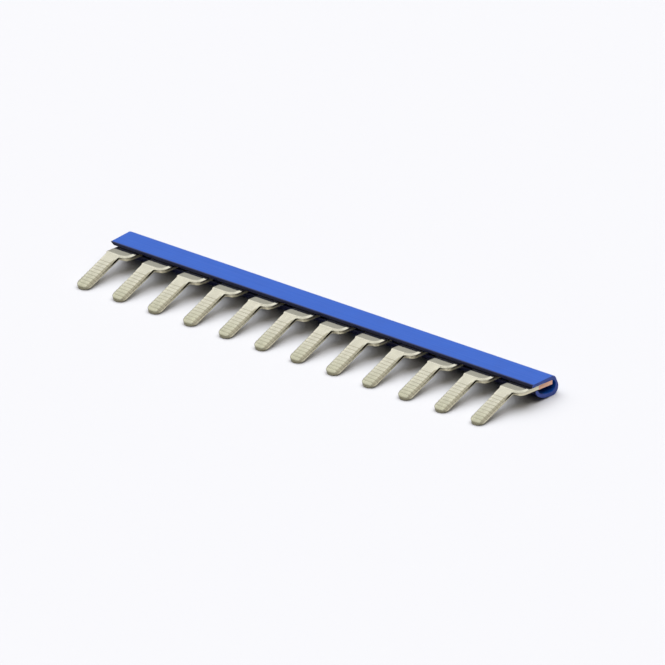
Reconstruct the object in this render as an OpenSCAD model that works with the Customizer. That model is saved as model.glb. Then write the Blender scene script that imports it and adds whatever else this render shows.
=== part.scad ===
/* [Comb] */
// Distance from one finger to the next, the width of one terminal
pitch = 6.2; // [5:0.1:10]
// Number of fingers left on the cut length
finger_count = 12; // [2:1:30]
// Thickness of the metal sheet
sheet_t = 0.6; // [0.4:0.05:1]
// Depth of the solid spine behind the slots
spine_depth = 2.8; // [1.5:0.1:4]
// From the end of a slot to the line where the finger bends down
neck_depth = 3.95; // [3:0.05:8]
// Radius in the corners at the closed end of a slot
slot_r = 0.3; // [0.1:0.05:0.8]
// How far the spine's sawn end stands past the side of the last neck
saw_step = 0.05; // [0.02:0.01:0.5]

/* [Shoulders] */
// Step from the finger's side out to the wide side of its neck
shoulder_w = 1.35; // [0.6:0.05:1.8]
// Radius on the corner of the wide side
shoulder_r = 1.3; // [0.2:0.05:1.3]
// Step from the finger's side out to the narrow side of its neck
heel_w = 0.2; // [0.1:0.05:0.4]
// Radius of the easy curve that takes the narrow side into the finger
heel_r = 0.8; // [0.6:0.05:1.1]
// How far the shoulders run on past the bend line
shoulder_past = 0.25; // [0.1:0.05:1]

/* [Fingers] */
// Width of a finger
finger_w = 2.15; // [1.4:0.05:2.8]
// Length of a finger from the bend line to its tip, along its upper face
finger_len = 7.55; // [7.2:0.05:12]
// Angle by which the fingers bend down
bend_angle = 22.5; // [10:0.5:40]
// Radius inside the bend
bend_r = 0.3; // [0.2:0.1:2]
// Length of the sloping lead-in on top of the tip
lead_len = 0.45; // [0.2:0.05:0.7]
// Depth of the lead-in at the very tip
lead_h = 0.22; // [0.05:0.01:0.3]

/* [Grip ribs] */
// Number of ribs across a finger
rib_count = 8; // [2:1:8]
// Distance from one rib to the next
rib_pitch = 0.62; // [0.4:0.02:0.64]
// From the bend line to the middle of the first rib
rib_start = 2.1; // [1.2:0.05:2.2]
// Radius of the rounded grooves that leave the ribs standing
groove_r = 0.16; // [0.12:0.01:0.4]
// Depth of the grooves
groove_depth = 0.09; // [0.03:0.01:0.12]

/* [Sleeve] */
// Thickness of the sleeve's wall
sleeve_wall = 0.6; // [0.3:0.05:0.8]
// Outer radius of the sleeve's belly under the spine, one wall outside the hollow
sleeve_r = 1.46; // [1.2:0.02:2.5]
// Outer radius where the top leg turns down into the back
turn_r = 1; // [0.6:0.05:1.2]
// Outer radius low down on the back, where the sleeve is fullest
back_r = 1.05; // [0.6:0.05:1.3]
// How far behind the hollow's middle the fullest place of the back is centred
back_out = 0.45; // [0.2:0.05:0.6]
// Hollow left inside the roll behind the spine
back_gap = 0.76; // [0.2:0.02:0.85]
// How far the top leg reaches forward from the spine's back edge
top_leg = 4.42; // [3:0.02:6]
// Thickness of the top leg at its front lip
lip_t = 0.41; // [0.2:0.01:0.6]
// How far the bottom leg reaches forward from the spine's back edge
bottom_leg = 3.65; // [2.5:0.05:6]
// How far the sleeve runs past the comb's left end
overhang = 1.45; // [0.95:0.05:4]
// Length of the slope that the cutter left on the top leg's left end
cut_slant = 0.9; // [0.1:0.05:0.9]
// Clearance between the sleeve and the sheet that it grips
fit = 0.02; // [0.01:0.01:0.1]

/* [Hidden] */
$fn = 48;

// Plan of the comb: x from the first finger's left side, v forward from the spine's back edge
bend_v = spine_depth + neck_depth;
neck_front = bend_v + shoulder_past;
neck_w = heel_w + finger_w + shoulder_w;
heel_v = neck_front - sqrt(heel_r * heel_r - (heel_r - heel_w) * (heel_r - heel_w));
comb_left = -heel_w;
comb_right = (finger_count - 1) * pitch + finger_w + shoulder_w + saw_step;

// The bend: where the flat ends and the straight finger starts
bend_outer = bend_r + sheet_t;
bend_tangent = bend_outer * tan(bend_angle / 2);
flat_v = bend_v - bend_tangent;

// Section of the sleeve: the hollow's centre, and the quarter ellipse that closes under the sheet
roll_in = sleeve_r - sleeve_wall;
roll_v = roll_in - back_gap;
roll_z = fit - roll_in;
mouth_z = -sheet_t - fit;
belly_a = bottom_leg - roll_v;
belly_b = mouth_z - roll_z + sleeve_r;
belly_steps = 16;
sleeve_left = comb_left - overhang;
sleeve_low = roll_z - sleeve_r;
sleeve_top = roll_z + sleeve_r;

// The sleeve's back leans out from a turn at the top to the full place near the bottom
turn_z = sleeve_top - turn_r;
back_v = roll_v - back_out;
back_z = sleeve_low + back_r;
lean_run = norm([back_out, back_z - turn_z]);
lean_a = atan2(back_z - turn_z, -back_out) - acos((turn_r - back_r) / lean_run);

// How it lies: the fingertips' lower edges and the sleeve's back both touch the ground
tip_v = bend_v + finger_len * cos(bend_angle) - sheet_t * sin(bend_angle);
tip_z = -finger_len * sin(bend_angle) - sheet_t * cos(bend_angle);
reach = norm([tip_v - back_v, tip_z - back_z]);
rest_tilt = -asin(back_r / reach) - atan2(tip_z - back_z, tip_v - back_v);
nose_v = tip_v + (sheet_t - lead_h) * sin(bend_angle);
nose_z = tip_z + (sheet_t - lead_h) * cos(bend_angle);
back_y = back_r - back_v * cos(rest_tilt) + back_z * sin(rest_tilt);
front_y = nose_z * sin(rest_tilt) - nose_v * cos(rest_tilt);
lift = -tip_v * sin(rest_tilt) - tip_z * cos(rest_tilt);
mid_x = (sleeve_left + comb_right) / 2;
mid_y = (back_y + front_y) / 2;

// Lays the part down, from the flat sheet's own frame to the ground
module at_rest() {
  translate([-mid_x, -mid_y, lift]) rotate([-rest_tilt, 0, 0]) children();
}

// Runs a section drawn as [v, z] along the bar from x0 to x1
module along_bar(x0, x1) {
  translate([x0, 0, 0]) rotate([90, 0, 90]) linear_extrude(height = x1 - x0) mirror([1, 0]) children();
}

// Raises a plan drawn as [x, v] to a block through the sheet
module through_sheet() {
  translate([0, 0, -2 * sheet_t]) linear_extrude(height = 3 * sheet_t) mirror([0, 1]) children();
}

// The slice of the bend between the flat and the straight finger, seen from the bend's own axis
module bend_slice() {
  polygon([[0, 0], [0, 2 * bend_outer], 2 * bend_outer * [sin(bend_angle), cos(bend_angle)]]);
}

// Section of the sheet: flat, bend, and the straight ribbed finger with its lead-in
module sheet_section() {
  difference() {
    union() {
      polygon([[0, 0], [bend_v, 0], [nose_v, nose_z] + lead_h * [sin(bend_angle), cos(bend_angle)],
        [tip_v, tip_z], [bend_v - sheet_t * tan(bend_angle / 2), -sheet_t], [0, -sheet_t]]);
      translate([flat_v, -bend_outer]) intersection() {
        bend_slice();
        circle(r = bend_r + sheet_t / 2);
      }
    }
    translate([flat_v, -bend_outer]) circle(r = bend_r);
    translate([flat_v, -bend_outer]) difference() {
      bend_slice();
      circle(r = bend_outer);
    }
    translate([bend_v, 0]) rotate(-bend_angle) {
      for (i = [0 : rib_count])
        translate([rib_start + (i - 0.5) * rib_pitch, groove_r - groove_depth]) circle(r = groove_r);
      polygon([[finger_len - lead_len, 0], [finger_len, -lead_h],
        [finger_len + lead_len, -lead_h], [finger_len + lead_len, lead_h], [finger_len - lead_len, lead_h]]);
    }
  }
}

// Plan of one shouldered neck: a wide rounded step on one side, and a narrow one that runs into the finger
module neck_plan() {
  wide_r = min(shoulder_r, shoulder_w);
  translate([-heel_w, 0]) square([neck_w - shoulder_w, heel_v]);
  square([finger_w + shoulder_w, neck_front - wide_r]);
  translate([finger_w / 2, 0]) square([finger_w / 2 + shoulder_w - wide_r, neck_front]);
  translate([heel_r - heel_w, heel_v]) circle(r = heel_r);
  translate([finger_w + shoulder_w - wide_r, neck_front - wide_r]) circle(r = wide_r);
}

// Material left in the two rounded corners at the closed end of a slot
module slot_corners() {
  for (side = [0, 1])
    translate([finger_w + shoulder_w + side * (pitch - neck_w), spine_depth]) mirror([side, 0]) difference() {
      square(slot_r);
      translate([slot_r, slot_r]) circle(r = slot_r);
    }
}

// Plan of the spine with all its necks
module spine_plan() {
  translate([comb_left, 0]) square([comb_right - comb_left, spine_depth]);
  for (i = [0 : finger_count - 1]) translate([i * pitch, 0]) neck_plan();
  for (i = [0 : finger_count - 2]) translate([i * pitch, 0]) slot_corners();
}

// Plan of one finger with its round tip, drawn on the sloping upper face
module finger_plan() {
  translate([0, -bend_tangent]) square([finger_w, finger_len + bend_tangent - finger_w / 2]);
  translate([finger_w / 2, finger_len - finger_w / 2]) circle(r = finger_w / 2);
}

// One stamped and bent piece: spine, shouldered necks and ribbed fingers
module contact_comb() {
  color([0.80, 0.79, 0.72]) at_rest() intersection() {
    along_bar(comb_left, comb_right) sheet_section();
    union() {
      through_sheet() spine_plan();
      for (i = [0 : finger_count - 1])
        translate([i * pitch, -bend_v, 0]) rotate([bend_angle, 0, 0]) through_sheet() finger_plan();
    }
  }
}

// Point on the belly of the sleeve, wall_in inside its outer face
function belly_point(a, wall_in) = [roll_v + (belly_a - wall_in) * cos(a), mouth_z - (belly_b - wall_in) * sin(a)];

// The belly's curve from its lowest point up to the mouth
function belly(wall_in) = [for (i = [belly_steps : -1 : 0]) belly_point(90 * i / belly_steps, wall_in)];

// Section of the sleeve: leaning back, flat top leg, and the belly that closes up under the sheet
module sleeve_section() {
  lip = [top_leg - roll_v, fit + lip_t - turn_z];
  leg_a = atan2(lip[1], lip[0]) + acos(turn_r / norm(lip));
  front = 2 * max(top_leg, bottom_leg);
  difference() {
    union() {
      translate([roll_v, turn_z]) circle(r = turn_r);
      translate([back_v, back_z]) circle(r = back_r);
      polygon(concat(belly(0), [[top_leg, fit], [top_leg, fit + lip_t],
        [roll_v + turn_r * cos(leg_a), turn_z + turn_r * sin(leg_a)],
        [roll_v + turn_r * cos(lean_a), turn_z + turn_r * sin(lean_a)],
        [back_v + back_r * cos(lean_a), back_z + back_r * sin(lean_a)], [back_v, sleeve_low]]));
    }
    translate([roll_v, roll_z]) circle(r = roll_in);
    polygon(concat(belly(sleeve_wall), [[front, mouth_z], [front, fit], [roll_v, fit]]));
  }
}

// Extruded plastic sleeve pushed over the spine, sawn flush on the right and nipped off on the left
module insulating_sleeve() {
  slant_x = sleeve_left + cut_slant;
  color([0.27, 0.42, 0.79]) at_rest() difference() {
    along_bar(sleeve_left, comb_right) sleeve_section();
    translate([0, sleeve_r + roll_in, 0]) rotate([90, 0, 0]) linear_extrude(height = 2 * sleeve_r + roll_in + top_leg)
      polygon([[sleeve_left, sleeve_top], [slant_x, fit], [slant_x, 2 * sleeve_low],
        [sleeve_left - overhang, 2 * sleeve_low], [sleeve_left - overhang, sleeve_top]]);
  }
}

contact_comb();
insulating_sleeve();
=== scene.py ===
import math

import bmesh
import bpy
from mathutils import Matrix, Vector


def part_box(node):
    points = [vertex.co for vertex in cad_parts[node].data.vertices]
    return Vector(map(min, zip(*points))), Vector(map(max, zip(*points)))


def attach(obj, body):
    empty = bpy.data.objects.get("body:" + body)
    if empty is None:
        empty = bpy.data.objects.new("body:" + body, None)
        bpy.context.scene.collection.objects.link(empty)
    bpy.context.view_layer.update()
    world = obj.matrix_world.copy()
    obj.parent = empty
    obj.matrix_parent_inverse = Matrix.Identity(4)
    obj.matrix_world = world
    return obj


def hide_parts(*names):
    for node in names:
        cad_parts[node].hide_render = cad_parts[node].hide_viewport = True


mm = 0.001
tolerance = 1e-4  # in millimetres, as is slack
slack = 0.01
straight = 0.99  # from this cosine on, a face looks along an axis

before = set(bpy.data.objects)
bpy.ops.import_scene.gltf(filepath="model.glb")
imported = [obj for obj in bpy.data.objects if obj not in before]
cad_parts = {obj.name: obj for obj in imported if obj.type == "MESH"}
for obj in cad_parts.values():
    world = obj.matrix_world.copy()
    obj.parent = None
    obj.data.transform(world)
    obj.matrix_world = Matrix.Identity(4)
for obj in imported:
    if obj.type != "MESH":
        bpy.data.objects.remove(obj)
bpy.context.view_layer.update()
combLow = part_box("contact_comb")[0]
sleeveLow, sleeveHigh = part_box("insulating_sleeve")


# The bar's own sizes in millimetres, the same as the solids have.
comb = {
    "pitch": 6.2,
    "fingers": 12,
    "thickness": 0.6,
    "spineDepth": 2.8,
    "neckDepth": 3.95,
    "pastBend": 0.25,  # the shoulders run on a little past the bend line
    "shoulder": 1.35,
    "shoulderRadius": 1.3,
    "heel": 0.2,
    "heelRadius": 0.8,
    "slotRadius": 0.3,
    "slotSteps": 4,
    "innerRadius": 0.2,  # where a shoulder runs into the finger's side
    "cornerSteps": 6,
    "sawStep": 0.05,
    "fingerWidth": 2.15,
    "fingerLength": 7.55,
    "bendAngle": math.radians(22.5),
    "bendRadius": 0.3,
    "bendRows": 8,
    "leadLength": 0.45,
    "leadDepth": 0.22,
    "leadRows": (-0.08, 0.0, 0.08, 0.45),  # as parts of the lead-in's length
    "ribs": 8,
    "ribPitch": 0.62,
    "ribStart": 2.1,
    "grooveRadius": 0.16,
    "grooveDepth": 0.09,
    "grooveRows": 6,
    "grooveReach": 0.4,  # the grooves fade out at that part of the thickness
    "grooveWear": 0.85,  # they have stayed deep only towards the fingers' right rims
    "grooveFade": 0.6,
    "rimShadeStart": 0.25,  # the painted shade on the right rims comes in over that part of the finger's length
    "dieRoll": 0.085,  # the punch rounds the upper rim
    "dieRollSteps": 4,
    "rollWidth": 0.45,  # and draws the sheet down a little all along it
    "shoulderRoll": 0.1,
    "fingerRoll": 0.13,
    "rightRoll": 0.28,
    "rollKink": 0.05,
    "rollFade": 1.0,  # behind a shoulder's corner
    "rollStart": 0.25,  # part of the roll that is there at the bend; it grows towards the tip
    "burr": 0.02,  # the lower rim stays almost sharp
    "arcSteps": 12,
    "sharpFrom": math.radians(30),
}

sleeve = {
    "wall": 0.6,
    "bellyRadius": 1.46,
    "turnRadius": 1.0,
    "backRadius": 1.05,
    "backOut": 0.45,
    "backGap": 0.76,
    "topLeg": 4.42,
    "lipThickness": 0.41,
    "bottomLeg": 3.65,
    "slant": 0.9,
    "fit": 0.02,
    "lipRound": 0.09,
    "mouthRound": 0.14,
    "endRound": 0.035,
    "endSteps": 2,
    "arcSteps": 14,
    "roundSteps": 4,
    "sharpFrom": math.radians(40),
}

# How the bar lies: the sleeve's back and the fingertips both touch the floor.
bendOuter = comb["bendRadius"] + comb["thickness"]
bendTangent = bendOuter * math.tan(comb["bendAngle"] / 2)
bendLine = comb["spineDepth"] + comb["neckDepth"]
flatEnd = bendLine - bendTangent
bendArc = bendOuter * comb["bendAngle"]
hollowRadius = sleeve["bellyRadius"] - sleeve["wall"]
hollowV = hollowRadius - sleeve["backGap"]
hollowZ = sleeve["fit"] - hollowRadius
backV = hollowV - sleeve["backOut"]
backZ = hollowZ - sleeve["bellyRadius"] + sleeve["backRadius"]


# A point of the straight finger as (v, z): along its upper face from the bend line, and so far under it.
def onFinger(along, under):
    slope = comb["bendAngle"]
    return (
        bendLine + along * math.cos(slope) - under * math.sin(slope),
        -along * math.sin(slope) - under * math.cos(slope),
    )


tipV, tipZ = onFinger(comb["fingerLength"], comb["thickness"])
noseV, noseZ = onFinger(comb["fingerLength"], comb["leadDepth"])
toTip = math.hypot(tipV - backV, tipZ - backZ)
restTilt = -math.asin(sleeve["backRadius"] / toTip) - math.atan2(tipZ - backZ, tipV - backV)


# From the flat sheet's own frame, in millimetres, to the row frame: x from the first finger's left side,
# v forward from the spine's back edge and z up from the sheet's upper face. It mirrors, so a mesh that has
# gone through it needs its faces turned round.
def toRow(x, v, z):
    lean, stand = math.sin(restTilt), math.cos(restTilt)
    return Vector((
        combLow.x + (x + comb["heel"]) * mm,
        combLow.y + ((noseV - v) * stand - (noseZ - z) * lean) * mm,
        ((v - tipV) * lean + (z - tipZ) * stand) * mm,
    ))


# Photo camera: a long lens, level with the floor.
camera = {
    "azimuth": math.radians(38.8),
    "elevation": math.radians(25.2),
    "distance": 2298 * mm,
    "lens": 922,
    "sensor": 36,
    "clipEnd": 20,
    "aimX": 36.63,
    "aimV": 5.59,
    "aimZ": -0.62,
    "aimRight": 1.411,  # what the photo's middle lies right of and under the aim point
    "aimDown": 1.004,
}


def makeCamera():
    turn, rise = camera["azimuth"], camera["elevation"]
    back = Vector((math.sin(turn) * math.cos(rise), -math.cos(turn) * math.cos(rise), math.sin(rise)))
    right = Vector((math.cos(turn), math.sin(turn), 0))
    up = back.cross(right)
    aim = toRow(camera["aimX"], camera["aimV"], camera["aimZ"])
    aim += (right * camera["aimRight"] - up * camera["aimDown"]) * mm
    data = bpy.data.cameras.new("photoCamera")
    data.sensor_width = camera["sensor"]
    data.lens = camera["lens"]
    data.clip_end = camera["clipEnd"]
    view = bpy.data.objects.new("photoCamera", data)
    bpy.context.scene.collection.objects.link(view)
    view.matrix_world = Matrix.Translation(aim + back * camera["distance"]) @ Matrix(
        (right, up, back)).transposed().to_4x4()
    bpy.context.scene.camera = view


makeCamera()
print("camera placed, the bar leans", round(math.degrees(restTilt), 2), "degrees")


# sRGB hex to the linear colour that a shader takes.
def colour(code):
    parts = [int(code[i:i + 2], 16) / 255 for i in (1, 3, 5)]
    return [c / 12.92 if c <= 0.04045 else ((c + 0.055) / 1.055) ** 2.4 for c in parts] + [1.0]


# Adds one node: settings are its own properties, sockets are its input values or the outputs linked to them.
def addNode(tree, kind, settings=None, **sockets):
    node = tree.nodes.new(kind)
    for name, value in (settings or {}).items():
        setattr(node, name, value)
    for name, value in sockets.items():
        key = int(name[1:]) if name[0] == "i" and name[1:].isdigit() else name.replace("_", " ")
        if isinstance(value, bpy.types.NodeSocket):
            tree.links.new(value, node.inputs[key])
        else:
            node.inputs[key].default_value = value
    return node


def newMaterial(name):
    material = bpy.data.materials.new(name)
    material.use_nodes = True
    material.node_tree.nodes.clear()
    return material, material.node_tree


# A grey ramp between two values of what feeds it.
def ramp(tree, value, low, high, fromLow=0.0, toHigh=1.0):
    return addNode(tree, "ShaderNodeMapRange", {"interpolation_type": "SMOOTHSTEP"}, Value=value,
                   From_Min=low, From_Max=high, To_Min=fromLow, To_Max=toHigh).outputs[0]


def mixColour(tree, factor, first, second):
    return addNode(tree, "ShaderNodeMix", {"data_type": "RGBA"}, i0=factor, i6=first, i7=second).outputs[2]


def maths(tree, operation, *values):
    return addNode(tree, "ShaderNodeMath", {"operation": operation},
                   **{"i" + str(i): value for i, value in enumerate(values)}).outputs[0]


# Lays a stain or a painted shade of one colour over a tint, as strong as the place and the amount say.
def stain(tree, tint, code, place, amount=1.0):
    return mixColour(tree, maths(tree, "MULTIPLY", place, amount), tint, colour(code))


# Unevenness of the given strength, over bumps of the given height in millimetres.
def bumps(tree, shape, strength, height, **under):
    return addNode(tree, "ShaderNodeBump", Strength=strength, Distance=height * mm, Height=shape,
                   **under).outputs[0]


def principled(tree, tint, rough, **more):
    shader = addNode(tree, "ShaderNodeBsdfPrincipled", Base_Color=tint, Roughness=rough, **more)
    addNode(tree, "ShaderNodeOutputMaterial", Surface=shader.outputs[0])


# Noise with grains of the given size in millimetres, in the row frame.
def grain(tree, size, detail, stretch=None):
    place = addNode(tree, "ShaderNodeTexCoord").outputs["Object"]
    if stretch:
        place = addNode(tree, "ShaderNodeMapping", Vector=place, Scale=stretch).outputs[0]
    return addNode(tree, "ShaderNodeTexNoise", Vector=place, Scale=1 / (size * mm), Detail=detail).outputs["Fac"]


noiseSpan = (0.3, 0.7)  # almost all of a noise lies between these two


# Where a point was on the flat sheet, in millimetres.
def sheetMap(tree):
    place = addNode(tree, "ShaderNodeAttribute", {"attribute_name": "sheetMap"}).outputs["Vector"]
    return addNode(tree, "ShaderNodeSeparateXYZ", i0=place).outputs


# How deep a groove still is there, and how near the right rim the place lies, both from 0 to 1: they steer the
# painted shade in the grooves and on the rims.
def wearMap(tree):
    grooveAndRim = addNode(tree, "ShaderNodeAttribute", {"attribute_name": "wearMap"}).outputs["Vector"]
    return addNode(tree, "ShaderNodeSeparateXYZ", i0=grooveAndRim).outputs


plate = {
    "colour": "#E0DDCB",
    "tipColour": "#CECDB4",
    "tipFrom": 9.0,  # along the flat sheet, in millimetres
    "tipTo": 14.5,
    "cloudColour": "#B9B6A4",
    "cloudSize": 0.6,
    "cloudStain": 0.22,
    "cloudBump": 0.12,
    "cloudHeight": 0.02,
    "grooveShadeColour": "#8A8670",  # painted shade in the grooves, most of all near the right rim
    "grooveShadeMiddle": 0.4,
    "grooveShadeRim": 0.95,
    "grooveShadeReach": (0.0, 0.5),  # of the nearness to the rim, as for the strip below
    "rollShadeColour": "#A9A48E",  # painted shade on the drawn-down strip along the right rim
    "rollShadeReach": (0.2, 0.45),
    "rollShadeAmount": 0.85,
    # painted shade on the lead-in at the fingertip
    "noseShadeColour": "#7D7963",
    "noseShadeLength": 0.35,
    "noseShadeAmount": 0.95,
    "roughLeast": 0.18,
    "roughMost": 0.27,
    "flatSmooth": 0.35,  # the necks are that much smoother than the fingers
    "flatBefore": 0.9,
    "flatPast": 0.6,
    "lineSize": 0.12,
    "lineStretch": (1, 0.12, 1),
    "lineBump": 0.1,
    "lineHeight": 0.01,
}


# Matt tin plate over rolled copper strip: a soft, slightly cloudy gloss with fine rolling lines, and painted shade
# in the grooves, on the drawn-down right rims and on the lead-in at the tip.
def tinPlate():
    material, tree = newMaterial("matt_tin_plate")
    p = plate
    u = sheetMap(tree)["Y"]
    groove, rim = wearMap(tree)[:2]
    tip = fingerReach(comb["fingerLength"])
    cloud = grain(tree, p["cloudSize"], 1)
    lines = grain(tree, p["lineSize"], 2, p["lineStretch"])
    tint = mixColour(tree, ramp(tree, u, p["tipFrom"], p["tipTo"]), colour(p["colour"]), colour(p["tipColour"]))
    tint = stain(tree, tint, p["cloudColour"], cloud, p["cloudStain"])
    # painted shade in the grooves, strongest near the right rim
    grooveShadeStrength = ramp(tree, rim, *p["grooveShadeReach"], p["grooveShadeMiddle"], p["grooveShadeRim"])
    tint = stain(tree, tint, p["grooveShadeColour"], groove, grooveShadeStrength)
    # painted shade on the drawn-down strip along the right rim
    tint = stain(tree, tint, p["rollShadeColour"], ramp(tree, rim, *p["rollShadeReach"], 0.0, p["rollShadeAmount"]))
    # painted shade on the lead-in
    tint = stain(tree, tint, p["noseShadeColour"], ramp(tree, u, tip - p["noseShadeLength"], tip), p["noseShadeAmount"])
    rough = ramp(tree, cloud, *noiseSpan, p["roughLeast"], p["roughMost"])
    smooth = ramp(tree, u, flatEnd - p["flatBefore"], flatEnd + p["flatPast"], p["flatSmooth"], 1.0)
    fine = bumps(tree, lines, p["lineBump"], p["lineHeight"])
    principled(tree, tint, maths(tree, "MULTIPLY", rough, smooth), Metallic=1.0,
               Normal=bumps(tree, cloud, p["cloudBump"], p["cloudHeight"], Normal=fine))
    return material


edge = {
    "colour": "#C6C1AA",
    "tornColour": "#E6E0C6",
    "tornFrom": -0.22,  # under the sheet's upper face, in millimetres
    "tornTo": -0.3,
    "streakColour": "#8A8468",
    "streakSize": 0.07,
    "streakStretch": (1, 1, 0.25),
    "streakStain": 0.35,
    "streakBump": 0.5,
    "streakHeight": 0.03,
    "grooveShadeColour": "#8A8670",
    "grooveShadeAmount": 0.6,
    "underRimShadeColour": "#1A170E",  # painted shade: a dark line under the rim, from the inner corner down along the finger
    "underRimShadeFrom": (6.9, 7.1),
    "underRimShadeTo": (9.2, 8.0),
    "underRimShadeDepth": (-0.5, -0.36),
    # painted shade on the sheared edge towards the tip
    "noseShadeColour": "#7D7963",
    "noseShadeFrom": 0.9,
    "noseShadeTo": 0.4,
    "noseShadeAmount": 0.8,
    "roughness": 0.28,
    "tornRougher": 0.22,
}


# Stamped edge: burnished by the punch under the upper rim, then torn and duller down to the burr, with painted
# shade where the grooves nick it, in a line under the rim near the bend and towards the tip.
def shearedEdge():
    material, tree = newMaterial("stamped_edge")
    e = edge
    u, z = sheetMap(tree)[1:3]
    tip = fingerReach(comb["fingerLength"])
    torn = ramp(tree, z, e["tornFrom"], e["tornTo"])
    streaks = grain(tree, e["streakSize"], 2, e["streakStretch"])
    tint = mixColour(tree, torn, colour(e["colour"]), colour(e["tornColour"]))
    tint = stain(tree, tint, e["streakColour"], streaks, e["streakStain"])
    # painted shade where the grooves nick the edge
    tint = stain(tree, tint, e["grooveShadeColour"], wearMap(tree)["X"], e["grooveShadeAmount"])
    # painted shade: a dark line under the rim near the bend
    underRimShade = maths(tree, "MULTIPLY", ramp(tree, u, *e["underRimShadeFrom"]), ramp(tree, u, *e["underRimShadeTo"]))
    tint = stain(tree, tint, e["underRimShadeColour"], underRimShade, ramp(tree, z, *e["underRimShadeDepth"]))
    # painted shade towards the tip
    tint = stain(tree, tint, e["noseShadeColour"], ramp(tree, u, tip - e["noseShadeFrom"], tip - e["noseShadeTo"]), e["noseShadeAmount"])
    rough = maths(tree, "MULTIPLY_ADD", torn, e["tornRougher"], e["roughness"])
    principled(tree, tint, rough, Metallic=1.0, Normal=bumps(tree, streaks, e["streakBump"], e["streakHeight"]))
    return material


copper = {
    "colour": "#DDB49C",
    "dragColour": "#CB977C",
    "dragSize": 0.09,
    "dragStretch": (1, 1, 0.2),
    "dragBump": 0.5,
    "dragHeight": 0.02,
    "metallic": 0.85,
    "roughness": 0.4,
}


# Bare copper where the bar was cut through, dragged into fine lines by the cutter.
def cutCopper():
    material, tree = newMaterial("cut_copper")
    c = copper
    drag = grain(tree, c["dragSize"], 3, c["dragStretch"])
    tint = mixColour(tree, drag, colour(c["colour"]), colour(c["dragColour"]))
    principled(tree, tint, c["roughness"], Metallic=c["metallic"],
               Normal=bumps(tree, drag, c["dragBump"], c["dragHeight"]))
    return material


vinyl = {
    "colour": "#1049A3",
    "deep": "#0E4399",
    "cloudSize": 2.5,
    "paintedShade": "#020930",  # painted shade on the lip's front and the belly under it, between these millimetres
    "lipFront": (0.5, 0.1),
    "bellyBehind": (4.6, 3.8),
    "bellyUnder": (2.35, 2.2),
    "lineSize": 0.3,
    "lineStretch": (0.012, 1, 1),
    "lineBump": 0.2,
    "lineHeight": 0.01,
    "roughLeast": 0.37,
    "roughMost": 0.48,
    "bend": 1.53,
    "gloss": 0.24,
    # partly painted shade: the cut ends are darker than the sleeve's blue
    "cutShadedColour": "#0F2A74",
    "tornColour": "#2347A6",
    "tearSize": 0.15,
    "tearBump": 0.6,
    "tearHeight": 0.05,
    "cutRough": 0.6,
}


# Blue PVC profile, extruded: even and half gloss, with faint die lines along the bar, and painted shade on the
# lip's front and the belly under it.
def extrudedVinyl():
    material, tree = newMaterial("extruded_vinyl")
    s = vinyl
    lines = grain(tree, s["lineSize"], 3, s["lineStretch"])
    tint = mixColour(tree, grain(tree, s["cloudSize"], 2), colour(s["colour"]), colour(s["deep"]))
    place = addNode(tree, "ShaderNodeTexCoord").outputs["Object"]
    y, z = addNode(tree, "ShaderNodeSeparateXYZ", i0=place).outputs[1:3]
    # painted shade on the lip's front and on the belly under it
    lip = ramp(tree, y, *[sleeveLow.y + v * mm for v in s["lipFront"]])
    belly = maths(tree, "MULTIPLY", ramp(tree, y, *[v * mm for v in s["bellyBehind"]]),
                  ramp(tree, z, *[v * mm for v in s["bellyUnder"]]))
    tint = stain(tree, tint, s["paintedShade"], maths(tree, "MAXIMUM", lip, belly))
    principled(tree, tint, ramp(tree, lines, *noiseSpan, s["roughLeast"], s["roughMost"]), IOR=s["bend"],
               Specular_IOR_Level=s["gloss"], Normal=bumps(tree, lines, s["lineBump"], s["lineHeight"]))
    return material


# The same PVC where it was nipped through: rougher and a little torn; its darker blue is partly its own and partly
# painted shade on the end faces.
def cutVinyl():
    material, tree = newMaterial("cut_vinyl")
    s = vinyl
    tear = grain(tree, s["tearSize"], 4)
    tint = mixColour(tree, tear, colour(s["cutShadedColour"]), colour(s["tornColour"]))
    principled(tree, tint, s["cutRough"], IOR=s["bend"], Normal=bumps(tree, tear, s["tearBump"], s["tearHeight"]))
    return material


# How far along the flat, unbent sheet a place at v in front of the spine's back edge lies.
def flatReach(v):
    if v <= flatEnd:
        return v
    turned = math.asin(min(1, (v - flatEnd) / bendOuter))
    if turned < comb["bendAngle"]:
        return flatEnd + bendOuter * turned
    beyond = v - flatEnd - bendOuter * math.sin(comb["bendAngle"])
    return flatEnd + bendArc + beyond / math.cos(comb["bendAngle"])


# The same for a distance along the finger's upper face from the bend line.
def fingerReach(along):
    return flatEnd + bendArc + along - bendTangent


def near(vertex, x, y):
    return max(abs(vertex.co.x - x), abs(vertex.co.y - y)) < tolerance


def rounded(bm, found, radius, steps, affect="VERTICES", material=-1):
    bmesh.ops.bevel(bm, geom=found, offset=radius, segments=steps, profile=0.5, affect=affect, material=material)


def everything(bm):
    return bm.verts[:] + bm.edges[:] + bm.faces[:]


def corners(geometry):
    return [v for v in geometry if isinstance(v, bmesh.types.BMVert)]


def cutRow(bm, at, axis=1, clearOver=False, clearUnder=False):
    normal = [0, 0, 0]
    normal[axis] = 1
    bmesh.ops.bisect_plane(bm, geom=everything(bm), dist=tolerance / 10, plane_co=[at * n for n in normal],
                           plane_no=normal, clear_outer=clearOver, clear_inner=clearUnder)


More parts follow.
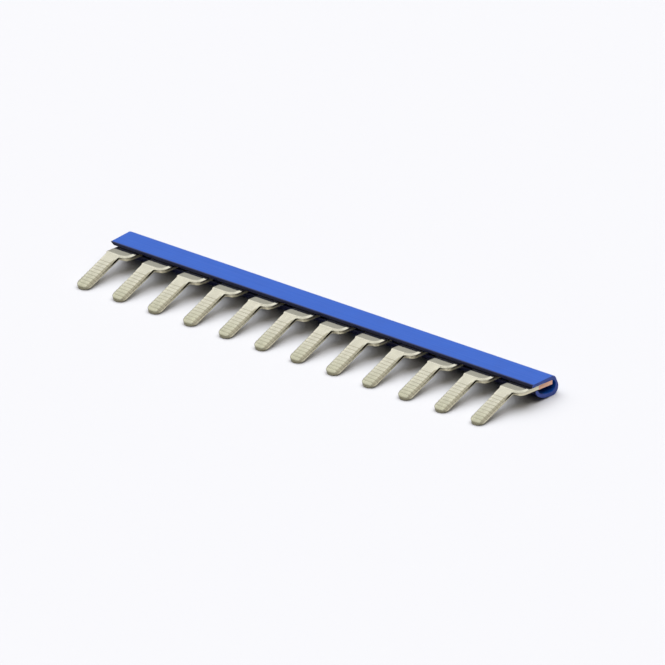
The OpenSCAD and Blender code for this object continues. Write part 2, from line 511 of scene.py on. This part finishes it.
# Rows across the fingers: round the bend, through every groove and down the lead-in.
def combRows():
    c = comb
    rows = [flatEnd + bendArc * i / c["bendRows"] for i in range(c["bendRows"] + 1)]
    half = math.sqrt(c["grooveRadius"] ** 2 - (c["grooveRadius"] - c["grooveDepth"]) ** 2)
    for rib in range(c["ribs"] + 1):
        middle = fingerReach(c["ribStart"] + (rib - 0.5) * c["ribPitch"])
        rows += [middle - half + 2 * half * i / c["grooveRows"] for i in range(c["grooveRows"] + 1)]
    lead = c["fingerLength"] - c["leadLength"]
    rows += [fingerReach(lead + c["leadLength"] * part) for part in c["leadRows"]]
    return sorted(rows)


# How much lower than the flat sheet the upper face lies there: the grip grooves and the lead-in.
def sunk(u):
    c = comb
    along = u - flatEnd - bendArc + bendTangent
    rib = round((along - c["ribStart"]) / c["ribPitch"] + 0.5)
    off = abs(along - c["ribStart"] - (rib - 0.5) * c["ribPitch"])
    groove = 0
    if 0 <= rib <= c["ribs"] and off < c["grooveRadius"]:
        groove = max(0, math.sqrt(c["grooveRadius"] ** 2 - off ** 2) - c["grooveRadius"] + c["grooveDepth"])
    lead = max(0, along - c["fingerLength"] + c["leadLength"]) / c["leadLength"] * c["leadDepth"]
    return groove, lead


# How far the punch drew the sheet down there: round a shoulder's corner and along a finger's two sides.
def drawnDown(x, u):
    c = comb
    x = (x + c["heel"]) % c["pitch"] - c["heel"]
    corner = c["fingerWidth"] + c["shoulder"] - c["shoulderRadius"]
    across, along = x - corner, u - flatReach(bendLine + c["pastBend"] - c["shoulderRadius"])
    beyond = u - flatEnd - bendArc
    if beyond > 0:
        inside = min(x, c["fingerWidth"] - x)
        deep = c["rightRoll"] if inside < x else c["fingerRoll"]
        deep *= c["rollStart"] + (1 - c["rollStart"]) * min(1, beyond / c["fingerLength"])
    elif across > 0 and along > -c["rollFade"]:
        deep = c["shoulderRoll"] * (1 if along > 0 else 1 + along / c["rollFade"])
        inside = c["shoulderRadius"] - math.hypot(across, max(0, along))
    else:
        return 0
    return deep * min(1, max(0, 1 - inside / c["rollWidth"]))


# How much of a groove's depth is left across the finger there.
def grooveLeft(x):
    c = comb
    inside = max(0, c["fingerWidth"] - (x + c["heel"]) % c["pitch"] + c["heel"])
    if inside < c["rollWidth"]:
        return 1 - (1 - c["grooveWear"]) * inside / c["rollWidth"]
    across = (inside - c["rollWidth"]) / (c["fingerWidth"] - c["rollWidth"])
    return c["grooveWear"] + (c["grooveFade"] - c["grooveWear"]) * min(1, across)


# 1 at the right rim of a finger, 0 from the roll's inner edge on; it steers the painted shade along the rims.
def nearRight(x, u):
    c = comb
    inside = c["fingerWidth"] - (x + c["heel"]) % c["pitch"] + c["heel"]
    beyond = (u - flatEnd - bendArc) / c["fingerLength"]
    return min(1, max(0, 1 - inside / c["rollWidth"])) * min(1, max(0, beyond / c["rimShadeStart"])) * (inside > -slack)


def bent(u, z):
    turn = min(max(u - flatEnd, 0) / bendOuter, comb["bendAngle"])
    beyond = max(u - flatEnd - bendArc, 0)
    v = min(u, flatEnd) + (bendOuter + z) * math.sin(turn) + beyond * math.cos(turn)
    return v, (bendOuter + z) * math.cos(turn) - bendOuter - beyond * math.sin(turn)


# Points of an arc from one direction to another, in degrees, stretched sideways where it is elliptical.
def arc(middle, radius, first, last, steps, stretch=1.0):
    turns = [math.radians(first + (last - first) * i / steps) for i in range(steps + 1)]
    return [(middle[0] + stretch * radius * math.cos(t), middle[1] + radius * math.sin(t)) for t in turns]


# Plan of one pitch of the comb, from the middle of one slot to the middle of the next, as (x, v).
def combPlan(left, right):
    c = comb
    wide = c["fingerWidth"] + c["shoulder"]
    front = bendLine + c["pastBend"]
    heelX = c["heelRadius"] - c["heel"]
    heelV = front - math.sqrt(c["heelRadius"] ** 2 - heelX ** 2)
    heelTurn = 180 - math.degrees(math.acos(heelX / c["heelRadius"]))
    heelArc = arc((heelX, heelV), c["heelRadius"], 180, heelTurn, c["cornerSteps"])
    middle = (wide - c["shoulderRadius"], front - c["shoulderRadius"])
    across = c["fingerWidth"] + c["innerRadius"] - middle[0]
    along = math.sqrt((c["shoulderRadius"] + c["innerRadius"]) ** 2 - across ** 2)
    meet = math.degrees(math.atan2(along, across))
    inner = arc((middle[0] + across, middle[1] + along), c["innerRadius"], 180, 180 + meet, c["cornerSteps"] - 1)
    outer = arc(middle, c["shoulderRadius"], meet, 0, c["arcSteps"])
    return ([(left, 0), (left, c["spineDepth"]), (-c["heel"], c["spineDepth"])] + heelArc, inner[:-1] + outer
            + [(wide, c["spineDepth"]), (right, c["spineDepth"]), (right, 0)])


def makeComb():
    c = comb
    wide = c["fingerWidth"] + c["shoulder"]
    slot = c["pitch"] - wide - c["heel"]
    left = -c["heel"] - slot / 2
    right = left + c["pitch"]
    tip = fingerReach(c["fingerLength"])
    narrowSide, wideSide = [[(x, flatReach(v)) for x, v in side] for side in combPlan(left, right)]
    half = c["fingerWidth"] / 2
    nose = arc((half, tip - half), half, 180, 0, 2 * c["arcSteps"])
    bm = bmesh.new()
    bm.faces.new([bm.verts.new((x, u, 0)) for x, u in narrowSide + nose + wideSide])
    slotEnds = [v for v in bm.verts if any(near(v, x, c["spineDepth"]) for x in (-c["heel"], wide))]
    rounded(bm, slotEnds, c["slotRadius"], c["slotSteps"])
    unit = everything(bm)
    for number in range(1, c["fingers"]):
        copy = bmesh.ops.duplicate(bm, geom=unit)["geom"]
        bmesh.ops.translate(bm, vec=(number * c["pitch"], 0, 0), verts=corners(copy))
    bmesh.ops.remove_doubles(bm, verts=bm.verts, dist=tolerance)
    endX = (c["fingers"] - 1) * c["pitch"] + wide + c["sawStep"]
    cutRow(bm, -c["heel"], 0, clearUnder=True)
    cutRow(bm, endX, 0, clearOver=True)
    middle = bm.faces[:]
    for width in (c["rollWidth"] - c["rollKink"], c["rollKink"]):
        bmesh.ops.inset_region(bm, faces=middle, thickness=width, use_boundary=True, use_even_offset=True)
    below = bmesh.ops.extrude_face_region(bm, geom=bm.faces[:])["geom"]
    bmesh.ops.translate(bm, vec=(0, 0, -c["thickness"]), verts=corners(below))
    bmesh.ops.recalc_face_normals(bm, faces=bm.faces)

    def sawn(face):
        x, u = face.calc_center_median()[:2]
        atEnd = min(abs(x - endX), abs(x + c["heel"])) < slack
        return abs(face.normal.x) > straight and u < c["spineDepth"] and atEnd

    for face in bm.faces:
        side = abs(face.normal.z) < straight
        face.material_index = 2 if side and sawn(face) else 1 if side else 0

    def rim(height):
        return [e for e in bm.edges if all(abs(v.co.z - height) < tolerance for v in e.verts)
                and sorted(f.material_index for f in e.link_faces) == [0, 1]]

    rounded(bm, rim(0), c["dieRoll"], c["dieRollSteps"], "EDGES", 0)
    rounded(bm, rim(-c["thickness"]), c["burr"], 1, "EDGES", 1)
    for row in combRows():
        cutRow(bm, row)
    flat = bm.verts.layers.float_vector.new("sheetMap")
    grooveAndRim = bm.verts.layers.float_vector.new("wearMap")
    for v in bm.verts:
        x, u, z = v.co
        v[flat] = (x, u, z)
        groove, lead = sunk(u)
        depth = -z / c["thickness"]
        groove *= grooveLeft(x) * max(0, 1 - depth / c["grooveReach"])
        v[grooveAndRim] = (groove / c["grooveDepth"], nearRight(x, u), 0)
        z -= groove + (lead + drawnDown(x, u)) * (1 - depth)
        v.co = toRow(x, *bent(u, z))
    bmesh.ops.reverse_faces(bm, faces=bm.faces)
    return finishPiece(bm, "tin_plated_comb", [tinPlate(), shearedEdge(), cutCopper()], c["sharpFrom"])


def finishPiece(bm, name, materials, sharpFrom):
    mesh = bpy.data.meshes.new(name)
    bm.to_mesh(mesh)
    bm.free()
    piece = bpy.data.objects.new(name, mesh)
    bpy.context.scene.collection.objects.link(piece)
    for material in materials:
        mesh.materials.append(material)
    mesh.shade_smooth()
    mesh.set_sharp_from_angle(angle=sharpFrom)
    piece.modifiers.new("evenShading", "WEIGHTED_NORMAL").keep_sharp = True
    return piece


# Section of the sleeve's wall as (v, z): the top leg, the leaning back, the belly, and back along the inside.
def sleeveSection(mouthZ):
    s = sleeve
    turn = (hollowV, hollowZ + s["bellyRadius"] - s["turnRadius"])
    lip = (s["topLeg"] - turn[0], s["fit"] + s["lipThickness"] - turn[1])
    legAngle = math.degrees(math.atan2(lip[1], lip[0]) + math.acos(s["turnRadius"] / math.hypot(*lip)))
    down = (backV - turn[0], backZ - turn[1])
    lean = math.atan2(down[1], down[0]) - math.acos((s["turnRadius"] - s["backRadius"]) / math.hypot(*down))
    leanAngle = math.degrees(lean) + 360
    deep = mouthZ - hollowZ + s["bellyRadius"]
    wide = s["bottomLeg"] - hollowV
    inDeep, inWide = deep - s["wall"], wide - s["wall"]
    steps = s["arcSteps"]
    return ([(s["topLeg"], s["fit"] + s["lipThickness"])]
            + arc(turn, s["turnRadius"], legAngle, leanAngle, steps)
            + arc((backV, backZ), s["backRadius"], leanAngle, 270, steps)
            + arc((hollowV, mouthZ), deep, 270, 360, steps, wide / deep)
            + arc((hollowV, mouthZ), inDeep, 360, 270, steps, inWide / inDeep)
            + arc((hollowV, hollowZ), hollowRadius, 270, 90, 2 * steps)[1:]
            + [(s["topLeg"], s["fit"])])


def makeSleeve():
    s = sleeve
    mouthZ = -comb["thickness"] - s["fit"]
    endX = (comb["fingers"] - 1) * comb["pitch"] + comb["fingerWidth"] + comb["shoulder"] + comb["sawStep"]
    leftX = endX - (sleeveHigh.x - sleeveLow.x) / mm
    bm = bmesh.new()
    bm.faces.new([bm.verts.new((0, v, z)) for v, z in sleeveSection(mouthZ)])
    lip = [v for v in bm.verts if abs(v.co.y - s["topLeg"]) < tolerance]
    rounded(bm, lip, s["lipRound"], s["roundSteps"])
    mouth = [v for v in bm.verts if abs(v.co.z - mouthZ) < tolerance]
    rounded(bm, mouth, s["mouthRound"], s["roundSteps"])
    run = bmesh.ops.extrude_face_region(bm, geom=bm.faces[:])["geom"]
    bmesh.ops.translate(bm, vec=(endX - leftX, 0, 0), verts=corners(run))
    bmesh.ops.recalc_face_normals(bm, faces=bm.faces)
    for face in bm.faces:
        face.material_index = 1 if abs(face.normal.x) > straight else 0
    ends = [e for e in bm.edges if sorted(f.material_index for f in e.link_faces) == [0, 1]]
    top = hollowZ + s["bellyRadius"]
    for v in bm.verts:
        if v.co.x < 1:
            height = min(1, max(0, (v.co.z - s["fit"]) / (top - s["fit"])))
            v.co.x += s["slant"] * (1 - height)
    rounded(bm, ends, s["endRound"], s["endSteps"], "EDGES", 0)
    for v in bm.verts:
        v.co = toRow(leftX + v.co.x, v.co.y, v.co.z)
    bmesh.ops.reverse_faces(bm, faces=bm.faces)
    return finishPiece(bm, "vinyl_sleeve", [extrudedVinyl(), cutVinyl()], s["sharpFrom"])


combPiece = makeComb()
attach(combPiece, "root")
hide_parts("contact_comb")
print("comb made,", len(combPiece.data.polygons), "faces")

sleevePiece = makeSleeve()
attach(sleevePiece, "root")
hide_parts("insulating_sleeve")
print("sleeve made,", len(sleevePiece.data.polygons), "faces")


studio = {
    "floorSize": 6.0,
    "floorColour": "#B9BBC1",
    "floorRough": 0.9,
    "tentColour": "#FFFFFF",
    "dimColour": "#FFE3B0",
    "tentFrom": (-0.15, 0.12, 0.98),  # the tent is lit from above, and a little from behind and the left
    "tentDim": 0.0,
    "tentBright": 3.78,
    "tentLow": 0.45,
    "tentHigh": 0.92,
    "whiteFrom": 0.85,
    "mirrorDim": 0.1,  # what glossy faces mirror: dim near the floor, bright panels above, a greyer roof
    "mirrorBright": 1.05,
    "panelFrom": 0.14,  # heights on the tent's dome, as the sine of the elevation
    "panelFull": 0.52,
    "panelEnds": 0.52,
    "roofHeight": 0.8,
    "roofDims": 0.68,
}


def makeFloor():
    bm = bmesh.new()
    bmesh.ops.create_grid(bm, x_segments=1, y_segments=1, size=studio["floorSize"] / 2)
    mesh = bpy.data.meshes.new("studioFloor")
    bm.to_mesh(mesh)
    bm.free()
    floor = bpy.data.objects.new("studioFloor", mesh)
    bpy.context.scene.collection.objects.link(floor)
    material, tree = newMaterial("seamless_paper")
    principled(tree, colour(studio["floorColour"]), studio["floorRough"])
    mesh.materials.append(material)


# A light tent as the world: white on its lit side and warm and dim round it, with its own brightness for what
# glossy faces mirror.
def makeTent():
    world = bpy.data.worlds.new("lightTent")
    bpy.context.scene.world = world
    world.use_nodes = True
    tree = world.node_tree
    tree.nodes.clear()
    s = studio
    place = addNode(tree, "ShaderNodeTexCoord").outputs["Generated"]
    facing = addNode(tree, "ShaderNodeVectorMath", {"operation": "DOT_PRODUCT"}, i0=place,
                     i1=Vector(s["tentFrom"]).normalized()).outputs["Value"]
    height = addNode(tree, "ShaderNodeSeparateXYZ", i0=place).outputs["Z"]
    light = ramp(tree, facing, s["tentLow"], s["tentHigh"], s["tentDim"], s["tentBright"])
    panels = ramp(tree, height, s["panelFrom"], s["panelFull"], s["mirrorDim"], s["mirrorBright"])
    roof = ramp(tree, height, s["panelEnds"], s["roofHeight"], 1.0, s["roofDims"])
    mirror = maths(tree, "MULTIPLY", panels, roof)
    glossy = addNode(tree, "ShaderNodeLightPath").outputs["Is Glossy Ray"]
    strength = addNode(tree, "ShaderNodeMix", {"data_type": "FLOAT"}, i0=glossy, i2=light, i3=mirror).outputs[0]
    white = maths(tree, "MAXIMUM", glossy, ramp(tree, facing, s["tentLow"], s["whiteFrom"]))
    tint = mixColour(tree, white, colour(s["dimColour"]), colour(s["tentColour"]))
    shader = addNode(tree, "ShaderNodeBackground", Color=tint, Strength=strength)
    addNode(tree, "ShaderNodeOutputWorld", Surface=shader.outputs[0])


makeFloor()
makeTent()
bpy.context.scene.view_settings.view_transform = "Standard"
print("studio set")
